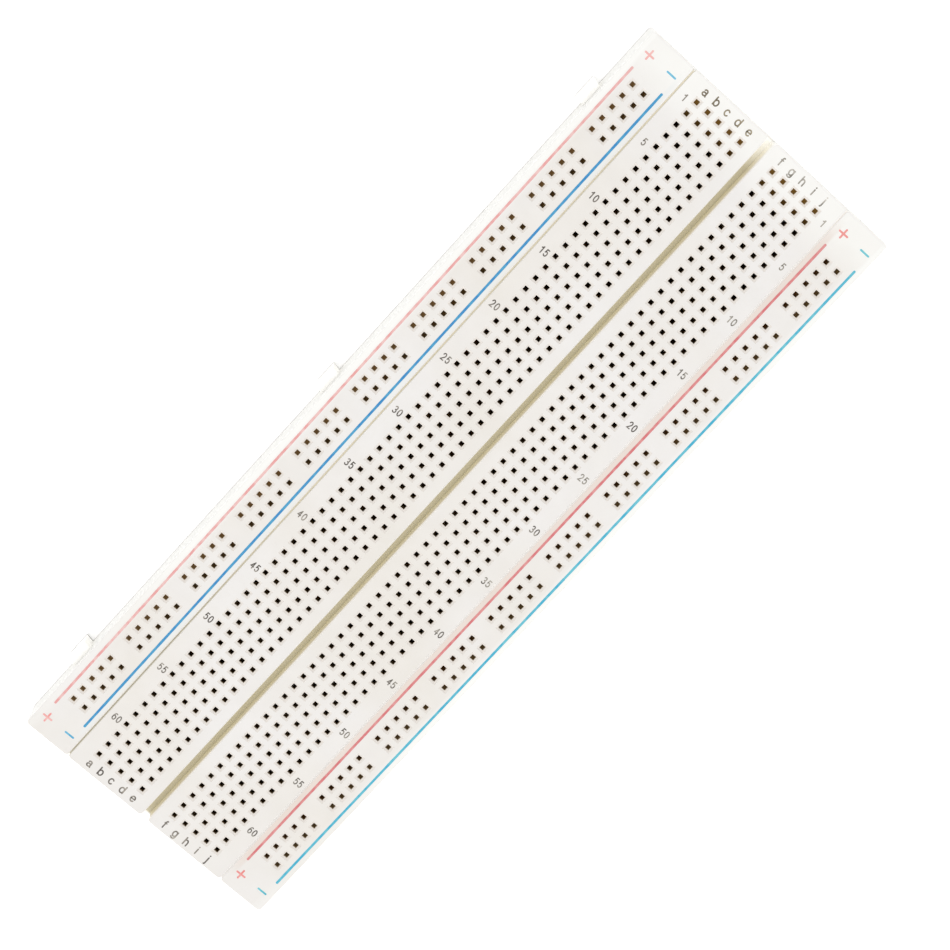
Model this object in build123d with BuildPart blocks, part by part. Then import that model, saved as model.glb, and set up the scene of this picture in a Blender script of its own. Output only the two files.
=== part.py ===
"""Solderless breadboard with 830 tie points: a terminal strip, two power rails, their spring clips and backing.

Frame in mm. +X runs along the board towards row 1, +Y points to the column a side, where the free tabs stand,
+Z is up. The origin is the middle of the flat underside, on the face of the release liner.
"""
import os

from build123d import *

os.makedirs("parts", exist_ok=True)

# ---------------------------------------------------------------- contact grid
pitch = 2.54                      # 0.1 inch, the grid every tie point sits on
row_count = 63                    # numbered rows on the terminal strip
centre_row = 32                   # the row that lies on X = 0
column_centre = 8.89              # middle of five columns, 3.5 pitches from the centreline
left_rail_y = 22.9                # middle of the left power rail, close to 9 pitches from the centreline
right_rail_y = -22.85             # middle of the right power rail, which sits a little tighter
rail_rows = [r for r in range(3, 62) if r % 6 != 2]   # ten groups of five, one row skipped between groups

# ---------------------------------------------------------------- mouldings
board_length = 165.6
terminal_width = 36.0
rail_width = 9.6
corner_radius = 0.7               # upright corners of every strip
edge_round = 0.25                 # top edges
liner_thickness = 0.1
foam_thickness = 0.9
mould_z = liner_thickness + foam_thickness
mould_height = 7.5
top_z = mould_z + mould_height
groove_width = 1.5
groove_depth = 3.3

# ---------------------------------------------------------------- tie-point holes and clip cavities
bore = 0.85                       # square hole for the wire
lead_in = 1.6                     # square mouth at the top face
lead_in_depth = 0.3
plate = 1.7                       # plastic between the top face and the cavities
cavity_height = mould_height - plate
cavity_width = 2.0
cavity_length = 12.6              # over five contacts
bus_cavity_length = 151.6
clip_play = 0.15                  # between a clip spine and the end of its cavity

# ---------------------------------------------------------------- tabs and sockets that join the strips
tab_xs = (-67.5, 0, 67.5)
tab_root = 4.3                    # width where the tab leaves the wall
tab_tip = 4.9                     # width at the free end
tab_reach = 1.6
tab_height = 4.6
strip_gap = left_rail_y - rail_width / 2 - terminal_width / 2   # 0.1, the wider of the two seams
tab_play = 0.1                    # each side, tab to socket
socket_depth = 1.7
socket_height = tab_height + 0.1
tab_slope = (tab_tip - tab_root) / tab_reach
socket_mouth = tab_root + tab_slope * strip_gap + 2 * tab_play
socket_back = socket_mouth + tab_slope * socket_depth

# ---------------------------------------------------------------- spring clips, bent from sheet
sheet = 0.2
spine_width = 1.5
finger_width = 2.0                # along the clip
pinch_z = top_z - 3.1             # the two leaves of a contact come closest here
pinch_gap = 0.1
flare_z = top_z - 2.0             # tips of the leaves, just under the plate
flare_half = 0.62

# ---------------------------------------------------------------- backing
backing_inset = 0.5               # clear of the outline
backing_socket_inset = 2.3        # clear of the sockets, so a neighbour's tabs can pass

# Cutting tool for one tie point: square bore with a four-sided lead-in, carried above the face to cut clean
over = 0.2
over_size = lead_in + over * (lead_in - bore) / lead_in_depth
with BuildPart() as hole_tool:
    with BuildSketch(Plane.XY.offset(top_z - lead_in_depth)):
        Rectangle(bore, bore)
    with BuildSketch(Plane.XY.offset(top_z + over)):
        Rectangle(over_size, over_size)
    loft()
    with BuildSketch(Plane.XY.offset(top_z - lead_in_depth)):
        Rectangle(bore, bore)
    extrude(amount=-(plate - lead_in_depth + 0.5))

# ---------------------------------------------------------------- terminal strip moulding
bank_width = (terminal_width - groove_width) / 2
bank_y = (terminal_width + groove_width) / 4
with BuildPart() as terminal_block:
    # full-width base up to the groove floor
    with BuildSketch(Plane.XY.offset(mould_z)):
        RectangleRounded(board_length, terminal_width, corner_radius)
    extrude(amount=mould_height - groove_depth)
    # two banks, leaving the centre groove open at both ends
    with BuildSketch(Plane.XY.offset(top_z - groove_depth)):
        with Locations((0, bank_y), (0, -bank_y)):
            RectangleRounded(board_length, bank_width, corner_radius)
    extrude(amount=groove_depth)
    fillet(terminal_block.faces().filter_by(Plane.XY).group_by(Axis.Z)[-1].edges(), edge_round)
    # tabs on the +Y wall
    with BuildSketch(Plane.XY.offset(mould_z)):
        with Locations(*[(x, terminal_width / 2) for x in tab_xs]):
            Polygon(
                (-tab_root / 2, -0.2),
                (tab_root / 2, -0.2),
                (tab_root / 2, 0),
                (tab_tip / 2, tab_reach),
                (-tab_tip / 2, tab_reach),
                (-tab_root / 2, 0),
                align=None,
            )
    extrude(amount=tab_height)
    # sockets in the -Y wall, open downwards
    with BuildSketch(Plane.XY.offset(mould_z)):
        with Locations(*[(x, -terminal_width / 2) for x in tab_xs]):
            Polygon(
                (-socket_mouth / 2, -0.2),
                (socket_mouth / 2, -0.2),
                (socket_mouth / 2, 0),
                (socket_back / 2, socket_depth),
                (-socket_back / 2, socket_depth),
                (-socket_mouth / 2, 0),
                align=None,
            )
    extrude(amount=socket_height, mode=Mode.SUBTRACT)
    # 126 clip cavities, open downwards
    with BuildSketch(Plane.XY.offset(mould_z)):
        with GridLocations(pitch, 2 * column_centre, row_count, 2):
            Rectangle(cavity_width, cavity_length)
    extrude(amount=cavity_height, mode=Mode.SUBTRACT)
    # 630 tie points, columns a to e and f to j
    with Locations((0, column_centre), (0, -column_centre)):
        with GridLocations(pitch, pitch, row_count, 5):
            add(hole_tool.part, mode=Mode.SUBTRACT)
terminal_block.part.label = "terminal_block"
export_step(terminal_block.part, "parts/terminal_block.step", write_pcurves=False)

# ---------------------------------------------------------------- power rail moulding, used twice
with BuildPart() as rail_moulding:
    with BuildSketch(Plane.XY.offset(mould_z)):
        RectangleRounded(board_length, rail_width, corner_radius)
    extrude(amount=mould_height)
    fillet(rail_moulding.faces().filter_by(Plane.XY).group_by(Axis.Z)[-1].edges(), edge_round)
    # tabs on the +Y wall
    with BuildSketch(Plane.XY.offset(mould_z)):
        with Locations(*[(x, rail_width / 2) for x in tab_xs]):
            Polygon(
                (-tab_root / 2, -0.2),
                (tab_root / 2, -0.2),
                (tab_root / 2, 0),
                (tab_tip / 2, tab_reach),
                (-tab_tip / 2, tab_reach),
                (-tab_root / 2, 0),
                align=None,
            )
    extrude(amount=tab_height)
    # sockets in the -Y wall, open downwards
    with BuildSketch(Plane.XY.offset(mould_z)):
        with Locations(*[(x, -rail_width / 2) for x in tab_xs]):
            Polygon(
                (-socket_mouth / 2, -0.2),
                (socket_mouth / 2, -0.2),
                (socket_mouth / 2, 0),
                (socket_back / 2, socket_depth),
                (-socket_back / 2, socket_depth),
                (-socket_mouth / 2, 0),
                align=None,
            )
    extrude(amount=socket_height, mode=Mode.SUBTRACT)
    # one long cavity under each of the two hole rows
    with BuildSketch(Plane.XY.offset(mould_z)):
        with Locations((0, pitch / 2), (0, -pitch / 2)):
            Rectangle(bus_cavity_length, cavity_width)
    extrude(amount=cavity_height, mode=Mode.SUBTRACT)
    # 100 tie points in ten groups of five
    with Locations(*[((centre_row - r) * pitch, s * pitch / 2) for r in rail_rows for s in (1, -1)]):
        add(hole_tool.part, mode=Mode.SUBTRACT)

with BuildPart() as left_rail_block:
    with Locations((0, left_rail_y)):
        add(rail_moulding.part)
left_rail_block.part.label = "left_rail_block"
export_step(left_rail_block.part, "parts/left_rail_block.step", write_pcurves=False)

with BuildPart() as right_rail_block:
    with Locations((0, right_rail_y)):
        add(rail_moulding.part)
right_rail_block.part.label = "right_rail_block"
export_step(right_rail_block.part, "parts/right_rail_block.step", write_pcurves=False)

# ---------------------------------------------------------------- spring clips
# section of one contact: flat base and two leaves that lean in to the pinch and flare out below the hole
half_base = spine_width / 2
half_pinch = pinch_gap / 2
contact_section = [
    (-half_base, mould_z),
    (half_base, mould_z),
    (half_pinch + sheet, pinch_z),
    (flare_half, flare_z),
    (flare_half - sheet, flare_z),
    (half_pinch, pinch_z),
    (half_base - sheet, mould_z + sheet),
    (-half_base + sheet, mould_z + sheet),
    (-half_pinch, pinch_z),
    (-flare_half + sheet, flare_z),
    (-flare_half, flare_z),
    (-half_pinch - sheet, pinch_z),
]

# five contacts in a row across the strip
with BuildPart() as five_way_clip:
    with BuildSketch(Plane.XY.offset(mould_z)):
        Rectangle(spine_width, cavity_length - 2 * clip_play)
    extrude(amount=sheet)
    with BuildSketch(*[Plane.XZ.offset(k * pitch) for k in (-2, -1, 0, 1, 2)]):
        Polygon(*contact_section, align=None)
    extrude(amount=finger_width / 2, both=True)

# the 126 clips, kept by bank and by tens of rows
for bank, bank_side in (("ae", 1), ("fj", -1)):
    for first in range(1, row_count + 1, 10):
        last = min(first + 9, row_count)
        with BuildPart() as clips:
            with Locations(*[((centre_row - r) * pitch, bank_side * column_centre) for r in range(first, last + 1)]):
                add(five_way_clip.part)
        clip_name = f"clips_{bank}_rows_{first:02d}_{last:02d}"
        clips.part.label = clip_name
        export_step(clips.part, f"parts/{clip_name}.step", write_pcurves=False)

# fifty contacts on one spine along a power rail
with BuildPart() as bus_clip:
    with BuildSketch(Plane.XY.offset(mould_z)):
        Rectangle(bus_cavity_length - 2 * clip_play, spine_width)
    extrude(amount=sheet)
    with BuildSketch(*[Plane.YZ.offset((centre_row - r) * pitch) for r in rail_rows]):
        Polygon(*contact_section, align=None)
    extrude(amount=finger_width / 2, both=True)

# on each rail the positive bus is the +Y one, the negative bus the -Y one
with BuildPart() as left_positive_bus_clip:
    with Locations((0, left_rail_y + pitch / 2)):
        add(bus_clip.part)
left_positive_bus_clip.part.label = "left_positive_bus_clip"
export_step(left_positive_bus_clip.part, "parts/left_positive_bus_clip.step", write_pcurves=False)

with BuildPart() as left_negative_bus_clip:
    with Locations((0, left_rail_y - pitch / 2)):
        add(bus_clip.part)
left_negative_bus_clip.part.label = "left_negative_bus_clip"
export_step(left_negative_bus_clip.part, "parts/left_negative_bus_clip.step", write_pcurves=False)

with BuildPart() as right_positive_bus_clip:
    with Locations((0, right_rail_y + pitch / 2)):
        add(bus_clip.part)
right_positive_bus_clip.part.label = "right_positive_bus_clip"
export_step(right_positive_bus_clip.part, "parts/right_positive_bus_clip.step", write_pcurves=False)

with BuildPart() as right_negative_bus_clip:
    with Locations((0, right_rail_y - pitch / 2)):
        add(bus_clip.part)
right_negative_bus_clip.part.label = "right_negative_bus_clip"
export_step(right_negative_bus_clip.part, "parts/right_negative_bus_clip.step", write_pcurves=False)

# ---------------------------------------------------------------- adhesive foam tape and its release liner
backing_length = board_length - 2 * backing_inset
backing_shift = (backing_socket_inset - backing_inset) / 2
terminal_backing_width = terminal_width - backing_inset - backing_socket_inset
rail_backing_width = rail_width - backing_inset - backing_socket_inset

with BuildPart() as terminal_foam_tape:
    with BuildSketch(Plane.XY.offset(liner_thickness)):
        with Locations((0, backing_shift)):
            Rectangle(backing_length, terminal_backing_width)
    extrude(amount=foam_thickness)
terminal_foam_tape.part.label = "terminal_foam_tape"
export_step(terminal_foam_tape.part, "parts/terminal_foam_tape.step", write_pcurves=False)

with BuildPart() as terminal_liner:
    with BuildSketch(Plane.XY):
        with Locations((0, backing_shift)):
            Rectangle(backing_length, terminal_backing_width)
    extrude(amount=liner_thickness)
terminal_liner.part.label = "terminal_liner"
export_step(terminal_liner.part, "parts/terminal_liner.step", write_pcurves=False)

with BuildPart() as left_rail_foam_tape:
    with BuildSketch(Plane.XY.offset(liner_thickness)):
        with Locations((0, left_rail_y + backing_shift)):
            Rectangle(backing_length, rail_backing_width)
    extrude(amount=foam_thickness)
left_rail_foam_tape.part.label = "left_rail_foam_tape"
export_step(left_rail_foam_tape.part, "parts/left_rail_foam_tape.step", write_pcurves=False)

with BuildPart() as left_rail_liner:
    with BuildSketch(Plane.XY):
        with Locations((0, left_rail_y + backing_shift)):
            Rectangle(backing_length, rail_backing_width)
    extrude(amount=liner_thickness)
left_rail_liner.part.label = "left_rail_liner"
export_step(left_rail_liner.part, "parts/left_rail_liner.step", write_pcurves=False)

with BuildPart() as right_rail_foam_tape:
    with BuildSketch(Plane.XY.offset(liner_thickness)):
        with Locations((0, right_rail_y + backing_shift)):
            Rectangle(backing_length, rail_backing_width)
    extrude(amount=foam_thickness)
right_rail_foam_tape.part.label = "right_rail_foam_tape"
export_step(right_rail_foam_tape.part, "parts/right_rail_foam_tape.step", write_pcurves=False)

with BuildPart() as right_rail_liner:
    with BuildSketch(Plane.XY):
        with Locations((0, right_rail_y + backing_shift)):
            Rectangle(backing_length, rail_backing_width)
    extrude(amount=liner_thickness)
right_rail_liner.part.label = "right_rail_liner"
export_step(right_rail_liner.part, "parts/right_rail_liner.step", write_pcurves=False)
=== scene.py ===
"""Looks for a packed solderless breadboard: plastics, metal, printed legend, foam, light and camera.

Frame, in metres: +X runs towards row 1, +Y towards the column a side, +Z up. The origin is the middle of the
underside.
"""

import itertools
import math
import random
from collections import namedtuple

import bmesh
import bpy
from mathutils import Matrix, Vector, noise


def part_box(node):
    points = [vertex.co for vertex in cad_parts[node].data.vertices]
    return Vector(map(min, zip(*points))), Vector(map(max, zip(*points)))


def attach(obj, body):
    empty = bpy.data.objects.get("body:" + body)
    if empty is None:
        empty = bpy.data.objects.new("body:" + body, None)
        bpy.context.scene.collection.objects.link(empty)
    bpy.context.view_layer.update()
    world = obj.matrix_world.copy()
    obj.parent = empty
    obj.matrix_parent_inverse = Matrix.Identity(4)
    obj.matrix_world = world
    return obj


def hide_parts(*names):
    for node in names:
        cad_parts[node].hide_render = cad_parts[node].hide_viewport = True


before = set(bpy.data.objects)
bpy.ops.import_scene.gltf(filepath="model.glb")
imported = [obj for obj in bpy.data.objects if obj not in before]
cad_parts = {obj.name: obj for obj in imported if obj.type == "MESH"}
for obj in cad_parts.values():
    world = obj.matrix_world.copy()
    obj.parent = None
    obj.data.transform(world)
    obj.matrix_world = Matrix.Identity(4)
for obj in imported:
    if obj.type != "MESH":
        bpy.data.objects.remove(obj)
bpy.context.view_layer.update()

MM = 0.001
PITCH = 2.54 * MM
CENTRE_ROW = 32
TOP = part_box("terminal_block")[1].z
RAIL_Y = {"left": 22.9, "right": -22.85}

random.seed(830)


# ---------------------------------------------------------------- node materials
def srgb(r, g, b):
    """Linear colour of a display colour given as 0 to 255."""
    def linear(c):
        c /= 255
        return c / 12.92 if c <= 0.04045 else ((c + 0.055) / 1.055) ** 2.4

    return (linear(r), linear(g), linear(b), 1.0)


class Shader:
    """One node material. Helpers that add a node return its output socket or sockets."""

    def __init__(self, name, roughness=0.5, metallic=0.0):
        self.mat = bpy.data.materials.new(name)
        self.mat.use_nodes = True
        self.tree = self.mat.node_tree
        self.bsdf = self.tree.nodes["Principled BSDF"]
        self.bsdf.inputs["Roughness"].default_value = roughness
        self.bsdf.inputs["Metallic"].default_value = metallic
        self.place = self.node("ShaderNodeTexCoord").outputs["Object"]

    def node(self, kind, **settings):
        made = self.tree.nodes.new(kind)
        for key, value in settings.items():
            setattr(made, key, value)
        return made

    def put(self, socket, value):
        if isinstance(value, bpy.types.NodeSocket):
            self.tree.links.new(value, socket)
        else:
            socket.default_value = value

    def math(self, operation, a, b=0.0):
        made = self.node("ShaderNodeMath", operation=operation)
        for socket, value in zip(made.inputs, (a, b)):
            self.put(socket, value)
        return made.outputs[0]

    def axes(self):
        made = self.node("ShaderNodeSeparateXYZ")
        self.put(made.inputs[0], self.place)
        return made.outputs

    def above(self, value, limit):
        """1 where value is greater than limit, else 0."""
        return self.math("GREATER_THAN", value, limit)

    def below(self, value, limit):
        """1 where value is less than limit, else 0."""
        return self.math("LESS_THAN", value, limit)

    def near(self, value, centre, half):
        """1 where value is within half of centre, else 0."""
        away = self.math("ABSOLUTE", self.math("SUBTRACT", value, centre))
        return self.below(away, half)

    def both(self, *masks):
        """1 where every mask is 1."""
        made = masks[0]
        for mask in masks[1:]:
            made = self.math("MULTIPLY", made, mask)
        return made

    def noise(self, scale, detail=2.0, rough=0.5, stretch=None):
        made = self.node("ShaderNodeTexNoise")
        made.inputs["Scale"].default_value = scale
        made.inputs["Detail"].default_value = detail
        made.inputs["Roughness"].default_value = rough
        if stretch:
            mapped = self.node("ShaderNodeMapping")
            mapped.inputs["Scale"].default_value = stretch
            self.put(mapped.inputs["Vector"], self.place)
            self.put(made.inputs["Vector"], mapped.outputs[0])
        else:
            self.put(made.inputs["Vector"], self.place)
        return made.outputs[0]

    def ramp(self, value, stops):
        made = self.node("ShaderNodeValToRGB")
        elements = made.color_ramp.elements
        while len(elements) < len(stops):
            elements.new(0.5)
        for element, (at, colour) in zip(elements, stops):
            element.position = at
            element.color = colour
        self.put(made.inputs[0], value)
        return made.outputs[0]

    def mix(self, factor, a, b):
        """Colour a where factor is 0, colour b where it is 1."""
        made = self.node("ShaderNodeMix", data_type="RGBA")
        self.put(made.inputs[0], factor)
        self.put(made.inputs[6], a)
        self.put(made.inputs[7], b)
        return made.outputs[2]

    def span(self, value, low, high, out_low, out_high):
        """Maps low to high onto out_low to out_high, held at both ends."""
        made = self.node("ShaderNodeMapRange")
        for socket, number in zip(made.inputs, (value, low, high, out_low, out_high)):
            self.put(socket, number)
        return made.outputs[0]

    def bump(self, height, distance, strength, normal=None):
        made = self.node("ShaderNodeBump")
        made.inputs["Strength"].default_value = strength
        made.inputs["Distance"].default_value = distance
        self.put(made.inputs["Height"], height)
        if normal is not None:
            self.put(made.inputs["Normal"], normal)
        return made.outputs[0]

    def glow(self, colour):
        self.put(self.bsdf.inputs["Emission Color"], colour)
        self.bsdf.inputs["Emission Strength"].default_value = 1.0

    def finish(self, colour, roughness=None, normal=None):
        self.put(self.bsdf.inputs["Base Color"], colour)
        if roughness is not None:
            self.put(self.bsdf.inputs["Roughness"], roughness)
        if normal is not None:
            self.put(self.bsdf.inputs["Normal"], normal)
        return self.mat


PLASTIC = srgb(235, 231, 226)
PLASTIC_WARM = srgb(233, 228, 220)
PLASTIC_COOL = srgb(237, 234, 231)
# Painted light: glare white for the over-lit margins, row 1 end, groove mouth and tabs of the mouldings
GLARE_WHITE = srgb(249, 248, 244)
# Painted shade down the centre groove, whose walls and floor are the same plastic as the top
GROOVE_WALL_SHADE = srgb(220, 212, 192)
GROOVE_DEEP_WALL_SHADE = srgb(212, 204, 177)
GROOVE_FLOOR_SHADE = srgb(201, 194, 170)
GROOVE_LIP_GLOW = srgb(124, 120, 112)
GROOVE_GLOW = srgb(106, 104, 98)
GROOVE_GLOW_DEEP = srgb(114, 111, 94)
GROOVE_FLOOR_GLOW = srgb(26, 24, 16)
GROOVE_GLOW_END = srgb(108, 106, 102)
LEAD_IN_GLOW = srgb(66, 56, 46)
# Painted light on the outer walls and tabs, and a painted shadow line along their foot
OUTER_WALL_LIT = srgb(238, 237, 233)
OUTER_LIP_GLOW = srgb(76, 75, 73)
OUTER_WALL_GLOW = srgb(48, 48, 46)
TAB_GLOW = srgb(104, 103, 100)
FOOT_SHADOW = srgb(146, 144, 138)
BLACK = (0.0, 0.0, 0.0, 1.0)

# Depths below the top face, in mm
SKIN = 0.02  # the rounding of an edge begins
EDGE = 0.26  # the rounding of an edge ends
SEAM_FADE = 1.5  # the tone and glow of a seam end; above it they stay on when a slide bares the wall
TINT_FADE = 0.6
LEAD_IN_END = 0.32
WELL_MOUTH = 0.01
GROOVE_SCALE = 3.5  # the depth at 1 on the ramps of the groove
WELL_SCALE = 3.0  # the depth at 1 on the ramp of a tie point

# Places on the board, in mm
GROOVE_HALF = 1.05
LIP_HALF = 0.32
GAP_HALF = 0.1
OUTER_Y = 27.3
OUTER_X = 82.5
TAB_Y = 27.72
FOOT_Z = 1.5

# Seams between two strips: y in mm, painted shade of the plastic on the lips and in the gap, glow of the
# rounded lips, glow of the gap between them, and how much of that light is left at the row 63 end.
SEAMS = (
    (18.05, srgb(222, 217, 204), srgb(52, 49, 44), srgb(131, 126, 112), 0.4),
    (-18.025, srgb(234, 231, 228), srgb(82, 80, 78), srgb(140, 139, 137), 0.9),
)
SEAM_GLOW_END = srgb(146, 142, 133)

# The wells of the last rows before the row 1 end are lit through its thin end wall.
WELL_GLOW_END = srgb(90, 70, 34)
LIT_END = (74.5 * MM, 80 * MM, 0.0, 1.0)

# Depth below the top face in mm, and the painted shade of a tie point's wall there, darkening as the light in
# the bore fails
WELL_SHADE = (
    (0.0, PLASTIC),
    (0.30, PLASTIC),
    (0.34, srgb(226, 214, 190)),
    (0.9, srgb(130, 104, 66)),
    (1.5, srgb(48, 34, 18)),
    (2.3, srgb(20, 14, 8)),
)

# Sockets of a point on a moulding: x, y and z in metres, and depth below the top face in mm
Place = namedtuple("Place", "x y z depth")

# Banks of tie points: their middles in y and their reach from the middle in y and x, all in mm. glows is the
# light that seeps into the wells of the +Y row and of the -Y row of a rail.
Wells = namedtuple("Wells", "centres half_y half_x glows")

# A band of the top face in another colour: its middle and reach in y, in mm, and its colour
Tint = namedtuple("Tint", "centre half colour")


def top_face(s, at):
    """Mottled warm white, with painted glare that whitens it towards the long outer edges and the row 1 end.
    """
    clouds = s.noise(45, detail=3)
    colour = s.mix(s.span(clouds, 0.35, 0.65, 0.0, 1.0), PLASTIC_WARM, PLASTIC_COOL)
    speckle = s.noise(1800, detail=2)
    colour = s.mix(s.span(speckle, 0.35, 0.7, 0.0, 0.35), colour, PLASTIC)
    # painted glare along the long outer edges and at the row 1 end
    glare_side = s.span(s.math("ABSOLUTE", at.y), 25.4 * MM, 26.9 * MM, 0.0, 1.0)
    glare_side = s.both(glare_side, s.span(at.x, -70 * MM, -35 * MM, 0.3, 1.0))
    glare_end = s.span(at.x, 72 * MM, 79 * MM, 0.0, 0.8)
    return s.mix(s.math("MAXIMUM", glare_side, glare_end), colour, GLARE_WHITE)


def add_tint(s, at, colour, tint):
    away = s.math("ABSOLUTE", s.math("SUBTRACT", at.y, tint.centre * MM))
    band = s.span(away, tint.half * MM * 0.5, tint.half * MM, 0.8, 0.0)
    ends = s.span(s.math("ABSOLUTE", at.x), 75 * MM, 81 * MM, 1.0, 0.0)
    return s.mix(s.both(band, s.below(at.depth, TINT_FADE), ends), colour, tint.colour)


def add_groove(s, at, colour, glow):
    """Painted shade: khaki walls and floor of the centre groove, whitened by painted glare where it opens at
    the row 1 end.
    """
    inside = s.both(s.near(at.y, 0.0, GROOVE_HALF * MM), s.above(at.depth, SKIN))
    down = s.span(at.depth, 0.0, GROOVE_SCALE, 0.0, 1.0)
    open_end = s.span(at.x, 76 * MM, 83 * MM, 0.0, 1.0)
    shade_tones = [
        (0.0, PLASTIC),
        (0.16, PLASTIC),
        (0.21, GROOVE_WALL_SHADE),
        (0.90, GROOVE_DEEP_WALL_SHADE),
        (0.93, GROOVE_FLOOR_SHADE),
    ]
    lights = [
        (0.0, BLACK),
        (0.03, GROOVE_LIP_GLOW),
        (0.16, GROOVE_LIP_GLOW),
        (0.21, GROOVE_GLOW),
        (0.90, GROOVE_GLOW_DEEP),
        (0.93, GROOVE_FLOOR_GLOW),
    ]
    colour = s.mix(inside, colour, s.mix(open_end, s.ramp(down, shade_tones), GLARE_WHITE))
    glow = s.mix(inside, glow, s.mix(open_end, s.ramp(down, lights), GROOVE_GLOW_END))
    return colour, glow


def add_seams(s, at, colour, glow):
    """Painted shade and painted light on the rounded lips along both seams and in the gap between them."""
    lip = s.both(s.above(at.depth, SKIN), s.below(at.depth, EDGE))
    gap = s.both(s.above(at.depth, EDGE), s.below(at.depth, SEAM_FADE))
    for seam_y, shade_tone, lip_glow, gap_glow, far_light in SEAMS:
        on_lip = s.both(s.near(at.y, seam_y * MM, LIP_HALF * MM), lip)
        in_gap = s.both(s.near(at.y, seam_y * MM, GAP_HALF * MM), gap)
        colour = s.mix(s.math("MAXIMUM", on_lip, in_gap), colour, shade_tone)
        light = s.span(at.x, -55 * MM, -20 * MM, far_light, 1.0)
        near_end = s.span(at.x, 66 * MM, 83 * MM, 0.0, 1.0)
        glow = s.mix(s.both(on_lip, light), glow, lip_glow)
        glow = s.mix(s.both(in_gap, light), glow, s.mix(near_end, gap_glow, SEAM_GLOW_END))
    return colour, glow


def add_outer_walls(s, at, colour, glow):
    """Painted light: the outer walls are painted paler and glow, most round the top edge, their tabs are
    glare white, and a painted line of shadow lies along their foot.
    """
    beyond_side = s.above(s.math("ABSOLUTE", at.y), OUTER_Y * MM)
    beyond_end = s.above(s.math("ABSOLUTE", at.x), OUTER_X * MM)
    outer = s.both(s.math("MAXIMUM", beyond_side, beyond_end), s.above(at.depth, SKIN))
    wall = s.both(outer, s.above(at.depth, EDGE))
    colour = s.mix(wall, colour, s.mix(s.below(at.z, FOOT_Z * MM), OUTER_WALL_LIT, FOOT_SHADOW))
    on_tab = s.both(wall, s.above(at.y, TAB_Y * MM), s.above(at.z, FOOT_Z * MM))
    colour = s.mix(on_tab, colour, GLARE_WHITE)
    wall_light = s.mix(on_tab, OUTER_WALL_GLOW, TAB_GLOW)
    glow = s.mix(outer, glow, s.mix(wall, OUTER_LIP_GLOW, wall_light))
    return colour, glow


def add_wells(s, at, colour, glow, wells):
    """The lead-in of a tie point stays plastic; its bore is painted buff, brown and then black with depth, as
    shade.
    """
    shade_tones = [(depth / WELL_SCALE, shade_tone) for depth, shade_tone in WELL_SHADE]
    well = s.ramp(s.span(at.depth, 0.0, WELL_SCALE, 0.0, 1.0), shade_tones)
    inside = s.both(s.above(at.depth, WELL_MOUTH), s.near(at.x, 0.0, wells.half_x * MM))
    banks = None
    for centre in wells.centres:
        bank = s.near(at.y, centre * MM, wells.half_y * MM)
        banks = bank if banks is None else s.math("MAXIMUM", banks, bank)
    in_well = s.both(inside, banks)
    colour = s.mix(in_well, colour, well)
    glow = s.mix(in_well, glow, LEAD_IN_GLOW)
    row_glow = BLACK
    if wells.glows:
        far_row, near_row = wells.glows
        row_glow = s.mix(s.above(at.y, wells.centres[0] * MM), near_row, far_row)
    row_glow = s.mix(s.span(at.x, *LIT_END), row_glow, WELL_GLOW_END)
    deep = s.both(in_well, s.above(at.depth, LEAD_IN_END))
    return colour, s.mix(deep, glow, row_glow)


def moulded_plastic(name, wells, groove=False, tint=None):
    """Warm white moulding. Its weak glow stands in for the light that thin plastic lets through."""
    s = Shader(name, roughness=0.42)
    x, y, z = s.axes()
    at = Place(x, y, z, s.math("MULTIPLY", s.math("SUBTRACT", TOP, z), 1 / MM))
    colour = top_face(s, at)
    glow = BLACK
    if tint:
        colour = add_tint(s, at, colour, tint)
    if groove:
        colour, glow = add_groove(s, at, colour, glow)
    colour, glow = add_seams(s, at, colour, glow)
    colour, glow = add_outer_walls(s, at, colour, glow)
    colour, glow = add_wells(s, at, colour, glow, wells)
    s.glow(glow)
    # surface: slow unevenness of the moulding and a fine spark-eroded grain
    waves = s.bump(s.noise(60, detail=1), 0.00006, 0.5)
    grain = s.bump(s.noise(2600, detail=3, rough=0.6), 0.00001, 0.35, waves)
    rough = s.span(s.noise(300, detail=2), 0.3, 0.7, 0.36, 0.48)
    s.bsdf.inputs["Specular IOR Level"].default_value = 0.45
    return s.finish(colour, rough, grain)


def spring_metal(name, glow=BLACK):
    """Phosphor-bronze strip: rolled along its length and a little tarnished in patches."""
    s = Shader(name, roughness=0.34, metallic=1.0)
    s.glow(s.mix(s.span(s.axes()[0], *LIT_END), glow, WELL_GLOW_END))
    rolled = s.noise(900, detail=3, stretch=(0.12, 1.0, 1.0))
    stain = s.noise(260, detail=4, rough=0.6)
    colour = s.mix(s.span(rolled, 0.3, 0.7, 0.0, 1.0), srgb(150, 122, 74), srgb(186, 158, 104))
    colour = s.mix(s.span(stain, 0.5, 0.75, 0.0, 0.6), colour, srgb(104, 78, 46))
    rough = s.span(rolled, 0.3, 0.7, 0.28, 0.44)
    return s.finish(colour, rough, s.bump(rolled, 0.000008, 0.4))


def foam(name):
    """Closed-cell foam: off-white, pitted with small open cells where it is cut, with painted shade darkening
    the pits.
    """
    s = Shader(name, roughness=0.9)
    cells = s.node("ShaderNodeTexVoronoi", feature="DISTANCE_TO_EDGE")
    cells.inputs["Scale"].default_value = 3600
    s.put(cells.inputs["Vector"], s.place)
    pits = s.span(cells.outputs["Distance"], 0.0, 0.35, 0.0, 1.0)
    # painted shade in the sunken cell pits
    colour = s.mix(pits, srgb(242, 240, 234), srgb(206, 203, 194))
    colour = s.mix(s.span(s.noise(150, detail=3), 0.3, 0.7, 0.0, 0.35), colour, srgb(226, 219, 200))
    return s.finish(colour, None, s.bump(pits, -0.00006, 0.8))


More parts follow.
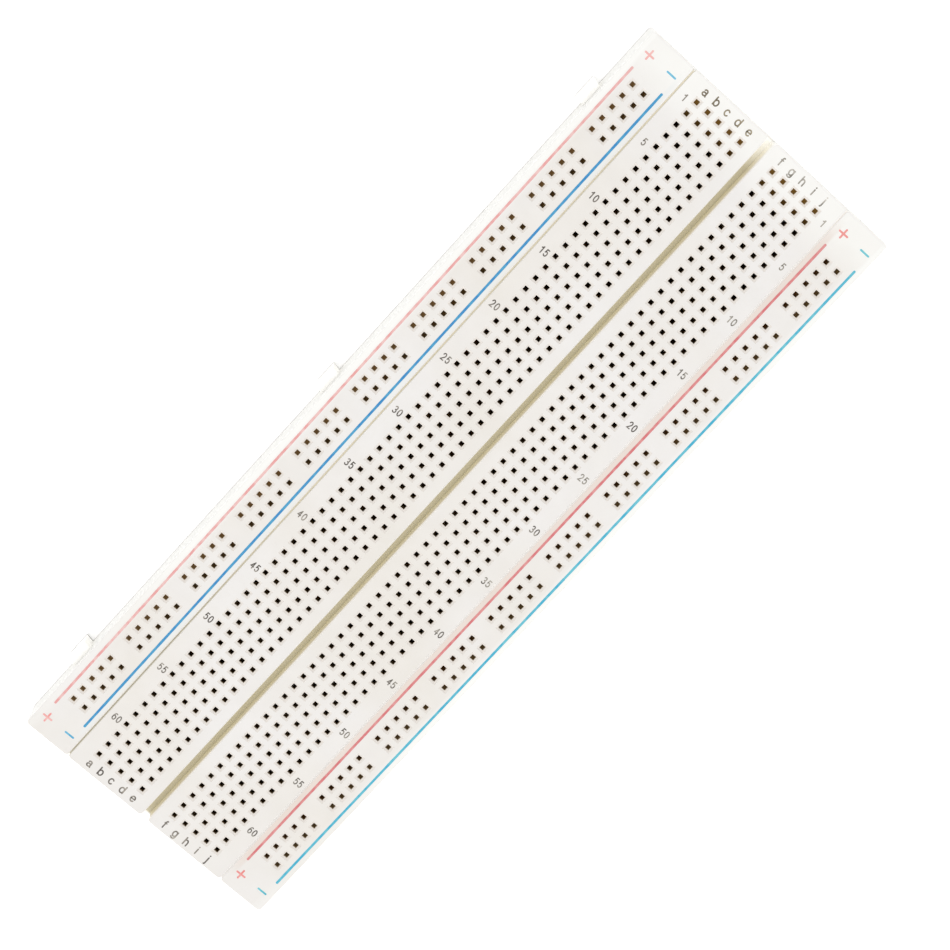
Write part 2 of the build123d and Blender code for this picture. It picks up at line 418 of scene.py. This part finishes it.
def release_paper(name):
    """Silicone-coated liner: buff paper with faint fibres and a slight sheen."""
    s = Shader(name, roughness=0.38)
    fibres = s.noise(1500, detail=5, rough=0.65, stretch=(0.35, 1.0, 1.0))
    colour = s.mix(s.span(fibres, 0.35, 0.65, 0.0, 1.0), srgb(232, 217, 176), srgb(240, 229, 197))
    colour = s.mix(s.span(s.noise(70, detail=2), 0.35, 0.7, 0.0, 0.4), colour, srgb(224, 208, 166))
    rough = s.span(fibres, 0.3, 0.7, 0.32, 0.46)
    return s.finish(colour, rough, s.bump(fibres, 0.000012, 0.5))


def ink(name, full, thin, patch=700, cover=(0.36, 0.62), glare_fade=0.6, glare_from=62):
    """Thin printed ink that shows some plastic where the pad left less of it, and is paled by painted glare
    towards row 1.
    """
    s = Shader(name, roughness=0.5)
    wear = s.span(s.noise(patch, detail=2), cover[0], cover[1], 0.0, 1.0)
    fine = s.noise(4200, detail=2)
    colour = s.mix(wear, thin, full)
    colour = s.mix(s.span(fine, 0.45, 0.8, 0.0, 0.25), colour, thin)
    # painted glare: the ink pales towards the row 1 end
    colour = s.mix(s.span(s.axes()[0], glare_from * MM, 80 * MM, 0.0, glare_fade), colour, thin)
    return s.finish(colour, s.span(fine, 0.3, 0.7, 0.42, 0.6))


def give(node, material):
    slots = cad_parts[node].data.materials
    if len(slots):
        for i in range(len(slots)):
            slots[i] = material
    else:
        slots.append(material)


# Light that reaches the contacts of each rail row through the thin plastic around them.
RAIL_GLOW = {
    ("left", "positive"): srgb(70, 56, 36),
    ("left", "negative"): srgb(36, 28, 15),
    ("right", "positive"): srgb(29, 17, 6),
    ("right", "negative"): srgb(48, 39, 24),
}
# Bands beside the seams: on the right rail a painted shade beside the terminal strip; on the left a faint
# cool band
TINTS = {
    "left": Tint(18.95, 0.5, srgb(233, 236, 235)),
    "right": Tint(-18.7, 0.9, srgb(230, 214, 203)),
}

terminal_wells = Wells((8.89, -8.89), 5.95, 79.7, None)
give("terminal_block", moulded_plastic("terminal_plastic", terminal_wells, groove=True))
for side, rail_y in RAIL_Y.items():
    glows = (RAIL_GLOW[side, "positive"], RAIL_GLOW[side, "negative"])
    rail_wells = Wells((rail_y,), 2.15, 75.2, glows)
    give(f"{side}_rail_block", moulded_plastic(f"{side}_rail_plastic", rail_wells, tint=TINTS[side]))
    for sign, glow in zip(("positive", "negative"), glows):
        give(f"{side}_{sign}_bus_clip", spring_metal(f"{side}_{sign}_bronze", glow))
bronze = spring_metal("phosphor_bronze")
foam_material = foam("backing_foam")
liner_material = release_paper("release_paper")
for node_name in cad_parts:
    if node_name.startswith("clips_"):
        give(node_name, bronze)
    elif node_name.endswith("_liner"):
        give(node_name, liner_material)


# ---------------------------------------------------------------- mesh helpers
def new_piece(name, bm, material, body):
    bmesh.ops.recalc_face_normals(bm, faces=bm.faces)
    mesh = bpy.data.meshes.new(name)
    bm.to_mesh(mesh)
    bm.free()
    mesh.materials.append(material)
    piece = bpy.data.objects.new(name, mesh)
    bpy.context.scene.collection.objects.link(piece)
    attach(piece, body)
    return piece


INK_SUNK = 0.01 * MM
INK_PROUD = 0.02 * MM
INK_STEP = 0.0005 * MM
CAP_STATIONS = (0.35, 0.7, 0.92)  # of the half width, where a round end has a station

# Strokes take these heights in turn, so that no two that cross lie in one plane.
ink_levels = itertools.cycle((1, 2, 3, 4, 5, 6, 7, 0))


def direction(before, point, after):
    """The way a path runs at a point, and by how much its stroke narrows there, at a bend."""
    if before is None:
        return (after - point).normalized(), 1.0
    into = (point - before).normalized()
    if after is None:
        return into, 1.0
    out = (after - point).normalized()
    along = (into + out).normalized()
    return along, max(0.5, along.dot(out))


def stroke(bm, path, width, closed=False, wobble=0.0):
    """A printed stroke: a solid strip of this width along path, a list of (x, y), round-ended if open."""
    top = TOP + INK_PROUD + next(ink_levels) * INK_STEP
    bottom = TOP - INK_SUNK
    pts = [Vector(p) for p in path]
    count = len(pts)
    stations = []
    for i, p in enumerate(pts):
        before = pts[i - 1] if closed or i else None
        after = pts[(i + 1) % count] if closed or i < count - 1 else None
        along, turn = direction(before, p, after)
        half = width / 2 / turn * (1 + random.uniform(-wobble, wobble))
        stations.append((p, along, half))
    if not closed:
        p, along, half = stations[0]
        head = [(p - along * half * t, along, half * math.sqrt(1 - t * t)) for t in reversed(CAP_STATIONS)]
        p, along, half = stations[-1]
        tail = [(p + along * half * t, along, half * math.sqrt(1 - t * t)) for t in CAP_STATIONS]
        stations = head + stations + tail
    rings = []
    for p, along, half in stations:
        side = Vector((-along.y, along.x)) * half
        a, b = p + side, p - side
        rings.append([bm.verts.new(v) for v in ((*a, top), (*b, top), (*b, bottom), (*a, bottom))])
    pairs = list(zip(rings, rings[1:]))
    if closed:
        pairs.append((rings[-1], rings[0]))
    for one, two in pairs:
        for k in range(4):
            bm.faces.new((one[k], one[(k + 1) % 4], two[(k + 1) % 4], two[k]))
    if not closed:
        bm.faces.new(rings[0])
        bm.faces.new(rings[-1][::-1])


def arc(cx, cy, rx, ry, start, end, steps=14):
    """Points along an ellipse, in glyph units, from start to end degrees."""
    made = []
    for i in range(steps + 1):
        a = math.radians(start + (end - start) * i / steps)
        made.append((cx + rx * math.cos(a), cy + ry * math.sin(a)))
    return made


def ring(cx, cy, rx, ry, steps=28):
    return arc(cx, cy, rx, ry, 0, 360 - 360 / steps, steps - 1)


# Each glyph is a list of (path, closed). Digits stand in a box 1 wide and 1 high. Letters have an x-height
# of 1.
DIGITS = {
    "0": [(ring(0.5, 0.5, 0.5, 0.5), True)],
    "1": [
        ([(0.10, 0.76), (0.34, 0.82), (0.52, 0.92), (0.60, 1.0)], False),
        ([(0.62, 1.0), (0.62, 0.0)], False),
    ],
    "2": [(arc(0.47, 0.70, 0.45, 0.30, 168, -38) + [(0.04, 0.0), (0.98, 0.0)], False)],
    "3": [(arc(0.45, 0.75, 0.41, 0.25, 150, -90), False), (arc(0.45, 0.26, 0.49, 0.26, 90, -152), False)],
    "4": [([(0.72, 0.0), (0.72, 1.0)], False), ([(0.70, 0.97), (0.02, 0.31), (1.0, 0.31)], False)],
    "5": [([(0.90, 1.0), (0.22, 1.0), (0.12, 0.55)] + arc(0.48, 0.33, 0.48, 0.33, 138, -150), False)],
    "6": [(ring(0.5, 0.32, 0.48, 0.32), True), (arc(0.62, 0.36, 0.60, 0.64, 180, 66), False)],
}
LETTERS = {
    "a": [
        (arc(0.47, 0.70, 0.38, 0.30, 158, 0) + [(0.86, 0.16), (0.97, 0.0)], False),
        (ring(0.44, 0.28, 0.42, 0.27), True),
    ],
    "b": [([(0.05, 1.42), (0.05, 0.0)], False), (ring(0.52, 0.5, 0.46, 0.5), True)],
    "c": [(arc(0.5, 0.5, 0.46, 0.5, 42, 318, 22), False)],
    "d": [([(0.95, 1.42), (0.95, 0.0)], False), (ring(0.48, 0.5, 0.46, 0.5), True)],
    "e": [([(0.05, 0.52), (0.95, 0.52)] + arc(0.5, 0.5, 0.46, 0.5, 4, 316, 22), False)],
    "f": [
        (arc(0.62, 1.14, 0.26, 0.28, 68, 180, 8) + [(0.36, 0.0)], False),
        ([(0.10, 0.97), (0.74, 0.97)], False),
    ],
    "g": [(ring(0.46, 0.5, 0.44, 0.5), True), ([(0.90, 1.0)] + arc(0.46, -0.05, 0.44, 0.36, 0, -155), False)],
    "h": [([(0.06, 1.42), (0.06, 0.0)], False), (arc(0.48, 0.58, 0.41, 0.42, 176, 0) + [(0.89, 0.0)], False)],
    "i": [([(0.5, 1.0), (0.5, 0.0)], False), ([(0.5, 1.38), (0.5, 1.42)], False)],
    "j": [
        ([(0.58, 1.0)] + arc(0.34, -0.10, 0.24, 0.28, 0, -110, 8), False),
        ([(0.58, 1.38), (0.58, 1.42)], False),
    ],
}


def glyph(bm, shape, left, base, wide, high, width):
    """Draws one glyph, up along +X and read towards -Y. left is its left side's y, base its foot's x."""
    for path, closed in shape:
        placed = [(base + v * high, left - u * wide) for u, v in path]
        stroke(bm, placed, width, closed)


# ---------------------------------------------------------------- printed legend
INKS = {
    ("left", "red"): (srgb(232, 158, 156), srgb(238, 196, 192)),
    ("right", "red"): (srgb(214, 108, 112), srgb(224, 148, 146)),
    ("left", "blue"): (srgb(10, 132, 196), srgb(58, 158, 202)),
    ("right", "blue"): (srgb(38, 172, 206), srgb(100, 194, 212)),
    ("left", "red_signs"): (srgb(240, 148, 144), srgb(244, 192, 187)),
    ("right", "red_signs"): (srgb(234, 126, 122), srgb(240, 160, 154)),
    ("left", "blue_signs"): (srgb(62, 164, 208), srgb(120, 196, 222)),
    ("right", "blue_signs"): (srgb(52, 176, 196), srgb(116, 204, 214)),
}
rail_inks = {key: ink(f"ink_{key[1]}_{key[0]}", full, thin) for key, (full, thin) in INKS.items()}
grey = ink("ink_grey", srgb(74, 66, 58), srgb(176, 168, 156), patch=520, cover=(0.30, 0.58))
grey_fj = ink("ink_grey_fj", srgb(74, 66, 58), srgb(184, 178, 166), 520, (0.30, 0.58), glare_fade=0.8, glare_from=55)
grey_near = ink("ink_grey_near", srgb(84, 72, 50), srgb(176, 162, 134), 520, (0.30, 0.58), glare_fade=0.15)
grey_worn = ink("ink_grey_worn", srgb(84, 76, 60), srgb(214, 208, 198), 420, (0.38, 0.60), glare_fade=0.15)

LINE_ENDS = (-76.3 * MM, 75.7 * MM)
LINE_WIDTH = 0.46 * MM
LINE_STEP = 0.9 * MM
LINE_WOBBLE = 0.06
LINE_OFFSETS = {"left": (3.27 * MM, 3.53 * MM), "right": (3.52 * MM, 3.48 * MM)}
BLUE_NICKS = {"left": ((-8.3, 0.25), (-19.9, 0.2)), "right": ((49.6, 0.25), (1.5, 0.3))}
SIGN_XS = (79.2 * MM, -79.4 * MM)
SIGN_OUT = 2.54 * MM
SIGN_SIZE = 2.1 * MM
SIGN_WIDTH = 0.36 * MM


def rail_line(name, y, material, body, nicks=()):
    """A long printed line, broken at nicks, given as (x, length) in mm."""
    bm = bmesh.new()
    cuts = sorted(nicks)
    starts = [LINE_ENDS[0]] + [(x + size / 2) * MM for x, size in cuts]
    ends = [(x - size / 2) * MM for x, size in cuts] + [LINE_ENDS[1]]
    for start, end in zip(starts, ends):
        steps = max(2, int((end - start) / LINE_STEP))
        path = [(start + (end - start) * i / steps, y) for i in range(steps + 1)]
        stroke(bm, path, LINE_WIDTH, wobble=LINE_WOBBLE)
    new_piece(name, bm, material, body)


def rail_signs(name, y, bars, material, body):
    """Signs of one bar (minus) or two bars (plus) at both ends of a rail."""
    bm = bmesh.new()
    reach = (SIGN_SIZE - SIGN_WIDTH) / 2
    for x in SIGN_XS:
        stroke(bm, [(x, y - reach), (x, y + reach)], SIGN_WIDTH)
        if bars == 2:
            stroke(bm, [(x - reach, y), (x + reach, y)], SIGN_WIDTH)
    new_piece(name, bm, material, body)


for side, rail_y in RAIL_Y.items():
    rail_body = f"{side}_power_rail"
    middle = rail_y * MM
    red_offset, blue_offset = LINE_OFFSETS[side]
    red, blue = rail_inks[side, "red"], rail_inks[side, "blue"]
    red_signs, blue_signs = rail_inks[side, "red_signs"], rail_inks[side, "blue_signs"]
    rail_line(f"{side}_red_line", middle + red_offset, red, rail_body)
    rail_line(f"{side}_blue_line", middle - blue_offset, blue, rail_body, BLUE_NICKS[side])
    rail_signs(f"{side}_plus_signs", middle + SIGN_OUT, 2, red_signs, rail_body)
    rail_signs(f"{side}_minus_signs", middle - SIGN_OUT, 1, blue_signs, rail_body)

DIGIT_WIDE = 0.59 * MM
DIGIT_HIGH = 1.27 * MM
DIGIT_STEP = 0.97 * MM
DIGIT_STROKE = 0.21 * MM
NUMBERED_ROWS = [1] + list(range(5, 61, 5))
# Bank, y of its numbers, their spacing against the rows, and how far they stand below their row
NUMBER_COLUMNS = (("ae", 16.08 * MM, 0.996, 0.45 * MM), ("fj", -16.45 * MM, 1.0, 0.6 * MM))
for bank, number_y, shrink, drop in NUMBER_COLUMNS:
    bm = bmesh.new()
    for row in NUMBERED_ROWS:
        text = str(row)
        base = (CENTRE_ROW - row) * PITCH * shrink - drop - DIGIT_HIGH / 2
        left = number_y + ((len(text) - 1) * DIGIT_STEP + DIGIT_WIDE) / 2
        for i, char in enumerate(text):
            glyph(bm, DIGITS[char], left - i * DIGIT_STEP, base, DIGIT_WIDE, DIGIT_HIGH, DIGIT_STROKE)
    new_piece(f"row_numbers_{bank}", bm, grey if bank == "ae" else grey_fj, "terminal_strip")

LETTER_HIGH = 1.07 * MM
LETTER_STROKE = 0.26 * MM
LETTER_WIDES = {"f": 0.62, "i": 0.30, "j": 0.46, "h": 0.84, "a": 0.84}
LETTER_WIDE = 0.88
# Bank, y of its first column in mm, and its columns
LETTER_BANKS = (("ae", 13.97, "abcde"), ("fj", -3.81, "fghij"))
# End of the board, x of the foot of its letters and their shift in y, in mm
LETTER_ENDS = (("far", -81.9, 0.12), ("near", 80.2, 0.05))
FAR_FJ_DROP = 0.12 * MM
WORN_INKS = {("ae", "near"): grey_near, ("fj", "near"): grey_worn}
for bank, first_column, columns in LETTER_BANKS:
    for end, base_x, shift in LETTER_ENDS:
        bm = bmesh.new()
        drop = FAR_FJ_DROP if (bank, end) == ("fj", "far") else 0
        foot = base_x * MM - drop + LETTER_STROKE / 2
        for i, char in enumerate(columns):
            wide = LETTER_WIDES.get(char, LETTER_WIDE) * MM
            centre = (first_column + shift) * MM - i * PITCH
            glyph(bm, LETTERS[char], centre + wide / 2, foot, wide, LETTER_HIGH, LETTER_STROKE)
        letter_ink = WORN_INKS.get((bank, end), grey)
        new_piece(f"column_letters_{bank}_{end}_end", bm, letter_ink, "terminal_strip")


# ---------------------------------------------------------------- foam tape
FOAM_STEP = 1.5 * MM
FOAM_LEVELS = 7
FOAM_WAIST = 0.16 * MM
FOAM_ROUGH = 0.06 * MM
FOAM_NOISE = 900


def foam_outline(lo, hi):
    """Points round a strip of tape, each with the direction that leads inwards."""
    long, wide = hi.x - lo.x, hi.y - lo.y
    nx = int(long / FOAM_STEP)
    ny = max(4, int(wide / FOAM_STEP))
    outline = [(lo.x + long * i / nx, lo.y, (0, 1)) for i in range(nx)]
    outline += [(hi.x, lo.y + wide * i / ny, (-1, 0)) for i in range(ny)]
    outline += [(hi.x - long * i / nx, hi.y, (0, -1)) for i in range(nx)]
    outline += [(lo.x, hi.y - wide * i / ny, (1, 0)) for i in range(ny)]
    return outline


def foam_strip(name, node, body):
    """The tape as cut foam: its long and short sides draw in at mid height and waver a little."""
    lo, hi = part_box(node)
    bm = bmesh.new()
    outline = foam_outline(lo, hi)
    rings = []
    for level in range(FOAM_LEVELS):
        t = level / (FOAM_LEVELS - 1)
        z = lo.z + (hi.z - lo.z) * t
        waist = FOAM_WAIST * math.sin(math.pi * t) ** 0.7
        loop = []
        for x, y, (inx, iny) in outline:
            waver = 0.5 + 0.5 * noise.noise(Vector((x, y, z * 2)) * FOAM_NOISE)
            draw = waist + FOAM_ROUGH * waver
            loop.append(bm.verts.new((x + inx * draw, y + iny * draw, z)))
        rings.append(loop)
    count = len(outline)
    for one, two in zip(rings, rings[1:]):
        for i in range(count):
            j = (i + 1) % count
            bm.faces.new((one[i], one[j], two[j], two[i]))
    bm.faces.new(rings[0][::-1])
    bm.faces.new(rings[-1])
    piece = new_piece(name, bm, foam_material, body)
    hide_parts(node)


foam_strip("terminal_foam", "terminal_foam_tape", "terminal_strip")
for side in RAIL_Y:
    foam_strip(f"{side}_rail_foam", f"{side}_rail_foam_tape", f"{side}_power_rail")


# ---------------------------------------------------------------- floor, light and camera
FLOOR_REACH = 6.0
FLOOR_Z = -0.00002  # just under the board, so that the two don't share a plane
WHITE = (1.0, 1.0, 1.0, 1.0)


def floor_material():
    s = Shader("pale_floor", roughness=0.9)
    s.bsdf.inputs["Emission Color"].default_value = WHITE
    s.bsdf.inputs["Emission Strength"].default_value = 0.50
    s.bsdf.inputs["Specular IOR Level"].default_value = 0.1
    return s.finish((0.90, 0.90, 0.90, 1.0))


floor_mesh = bpy.data.meshes.new("floor")
corners = [(-1, -1), (1, -1), (1, 1), (-1, 1)]
floor_mesh.from_pydata([(u * FLOOR_REACH, v * FLOOR_REACH, 0) for u, v in corners], [], [(0, 1, 2, 3)])
floor_mesh.materials.append(floor_material())
floor = bpy.data.objects.new("floor", floor_mesh)
floor.location.z = FLOOR_Z
bpy.context.scene.collection.objects.link(floor)

world = bpy.data.worlds.new("studio")
bpy.context.scene.world = world
world.use_nodes = True
background = world.node_tree.nodes["Background"]
background.inputs["Color"].default_value = WHITE
background.inputs["Strength"].default_value = 0.55

SOFTBOX_PLACE = Vector((-0.60, -0.25, 3.0))
softbox_data = bpy.data.lights.new("overhead_softbox", "AREA")
softbox_data.shape = "SQUARE"
softbox_data.size = 2.6
softbox_data.energy = 53.0
softbox = bpy.data.objects.new("overhead_softbox", softbox_data)
softbox.location = SOFTBOX_PLACE
softbox.visible_camera = False
softbox.rotation_euler = (-SOFTBOX_PLACE).to_track_quat("-Z", "Y").to_euler()
bpy.context.scene.collection.objects.link(softbox)

# camera: high above the board, tilted about 15 degrees towards the row 1, column a corner
CAMERA_TARGET = Vector((5.06 * MM, -1.71 * MM, TOP))
CAMERA_DISTANCE = 468.1 * MM
CAMERA_AZIMUTH = 46.5
CAMERA_ELEVATION = 75.23
CAMERA_ROLL = 175.4
CAMERA_LENS = 100.9

azimuth = math.radians(CAMERA_AZIMUTH)
elevation = math.radians(CAMERA_ELEVATION)
flat = math.cos(elevation)
towards = Vector((math.cos(azimuth) * flat, math.sin(azimuth) * flat, math.sin(elevation)))
camera_data = bpy.data.cameras.new("photo_camera")
camera_data.lens = CAMERA_LENS
camera_data.sensor_width = 36
camera_data.clip_start = 0.01
camera_data.clip_end = 20
camera = bpy.data.objects.new("photo_camera", camera_data)
right = (-towards).cross(Vector((0, 0, 1))).normalized()
level = Matrix((right, towards.cross(right), towards)).transposed()
roll = Matrix.Rotation(math.radians(CAMERA_ROLL), 3, "Z")
camera.matrix_world = Matrix.Translation(CAMERA_TARGET + towards * CAMERA_DISTANCE) @ (level @ roll).to_4x4()
bpy.context.scene.collection.objects.link(camera)
bpy.context.scene.camera = camera
bpy.context.scene.view_settings.view_transform = "Standard"
